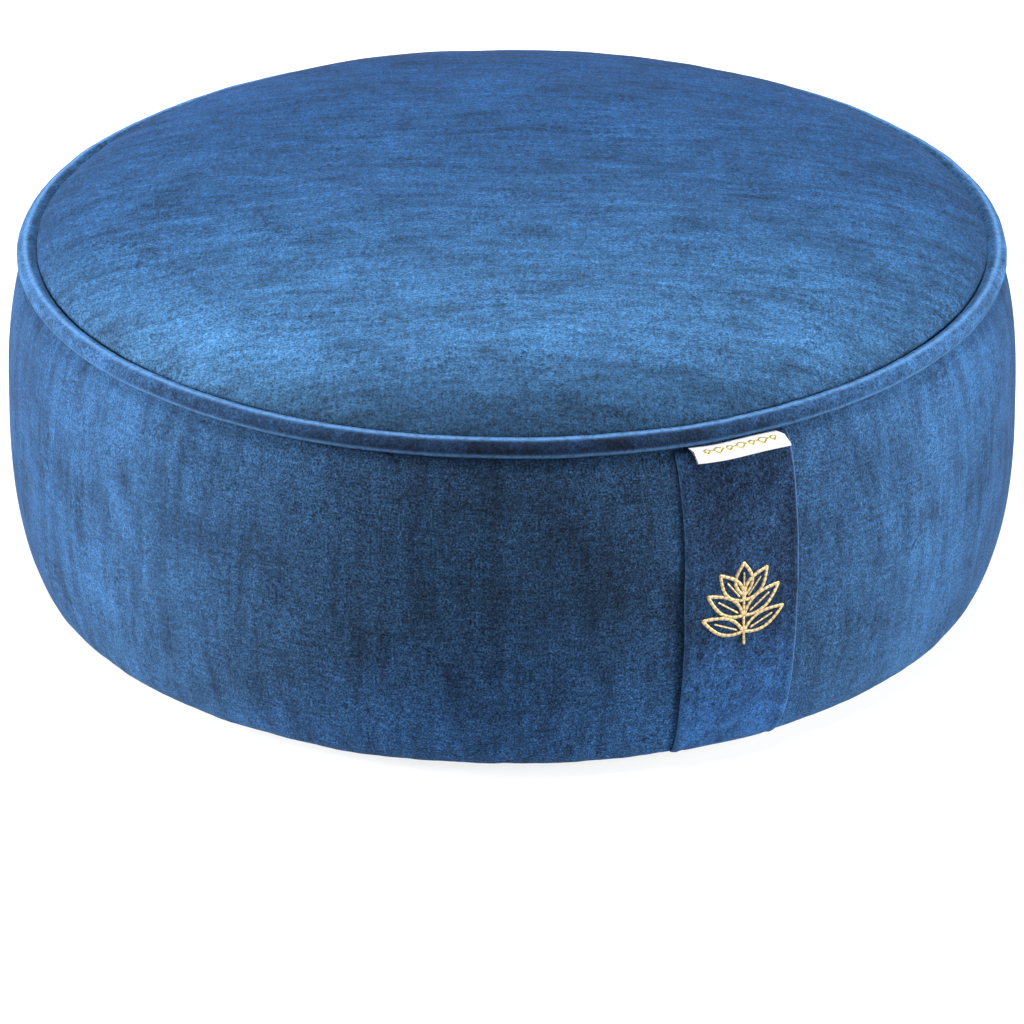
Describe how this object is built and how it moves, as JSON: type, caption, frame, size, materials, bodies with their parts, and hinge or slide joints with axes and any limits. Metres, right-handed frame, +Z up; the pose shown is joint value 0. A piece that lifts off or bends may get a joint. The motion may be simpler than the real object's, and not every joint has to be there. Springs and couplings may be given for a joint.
{
  "type": "floor cushion",
  "caption": "Round velvet floor cushion with a domed seat, piped top edge, side carry handle with a stitched leaf sprig, folded ribbon label, rear zip, cotton liner and buckwheat hull fill",
  "frame": {"origin": "on the floor, at the centre of the flat bottom panel", "axes": "+Z up out of the seat; the carry handle and label are on -Y; the cover's zip is centred on +Y; +X completes the right-handed frame"},
  "size_m": [0.42, 0.4261, 0.179],
  "materials": {
    "navy_velvet": "cut-pile velvet",
    "welt_velvet": "cut-pile velvet on the bias",
    "liner_cotton": "plain-woven cotton",
    "cotton_cord": "twisted cotton",
    "cotton_webbing": "woven webbing",
    "buckwheat_hulls": "loose dry hulls",
    "zip_tape_navy": "woven tape",
    "zip_tape_cream": "woven tape",
    "zip_coil_navy": "moulded coil",
    "zip_coil_cream": "moulded coil",
    "zip_nickel": "nickel plated",
    "gold_thread": "satin-stitched thread",
    "label_satin": "woven satin ribbon"
  },
  "bodies": {
    "cushion": {"top_panel": "navy_velvet", "front_band": "navy_velvet", "rear_band_upper": "navy_velvet", "rear_band_lower": "navy_velvet", "bottom_panel": "navy_velvet", "piping_cover": "welt_velvet", "piping_cord": "cotton_cord", "liner_top_panel": "liner_cotton", "liner_band": "liner_cotton", "liner_bottom_panel": "liner_cotton", "buckwheat_fill": "buckwheat_hulls", "zip_tape_upper": "zip_tape_navy", "zip_tape_lower": "zip_tape_navy", "zip_coil_upper": "zip_coil_navy", "zip_coil_lower": "zip_coil_navy", "zip_start_stop": "zip_nickel", "zip_end_stop": "zip_nickel", "liner_zip_tape_upper": "zip_tape_cream", "liner_zip_tape_lower": "zip_tape_cream", "liner_zip_coil_upper": "zip_coil_cream", "liner_zip_coil_lower": "zip_coil_cream", "handle_upper_end": "navy_velvet", "handle_lower_end": "navy_velvet"},
    "zip_slider": {"zip_slider": "zip_nickel"},
    "zip_pull": {"zip_pull": "zip_nickel"},
    "liner_zip_slider": {"liner_zip_slider": "zip_nickel"},
    "handle_grip": {"handle_sleeve": "navy_velvet", "handle_webbing": "cotton_webbing", "handle_emblem": "gold_thread"},
    "label": {"woven_label": "label_satin"}
  },
  "joints": [
    {"name": "zip_run", "type": "hinge", "parent": "cushion", "child": "zip_slider", "pos_m": [0, 0, 0.052], "axis": [0, 0, 1], "range_deg": [-110, 0]},
    {"name": "zip_pull_hinge", "type": "hinge", "parent": "zip_slider", "child": "zip_pull", "pos_m": [-0.17275, 0.1228, 0.052], "axis": [0, 0, 1], "range_deg": [0, 170]},
    {"name": "liner_zip_run", "type": "hinge", "parent": "cushion", "child": "liner_zip_slider", "pos_m": [0, 0, 0.0785], "axis": [0, 0, 1], "range_deg": [-64, 0]},
    {"name": "handle_pull", "type": "slide", "parent": "cushion", "child": "handle_grip", "axis": [0, -1, 0], "range_m": [0, 0.02]},
    {"name": "label_flap", "type": "hinge", "parent": "cushion", "child": "label", "pos_m": [0, -0.2036, 0.1422], "axis": [-1, 0, 0], "range_deg": [0, 40]}
  ]
}
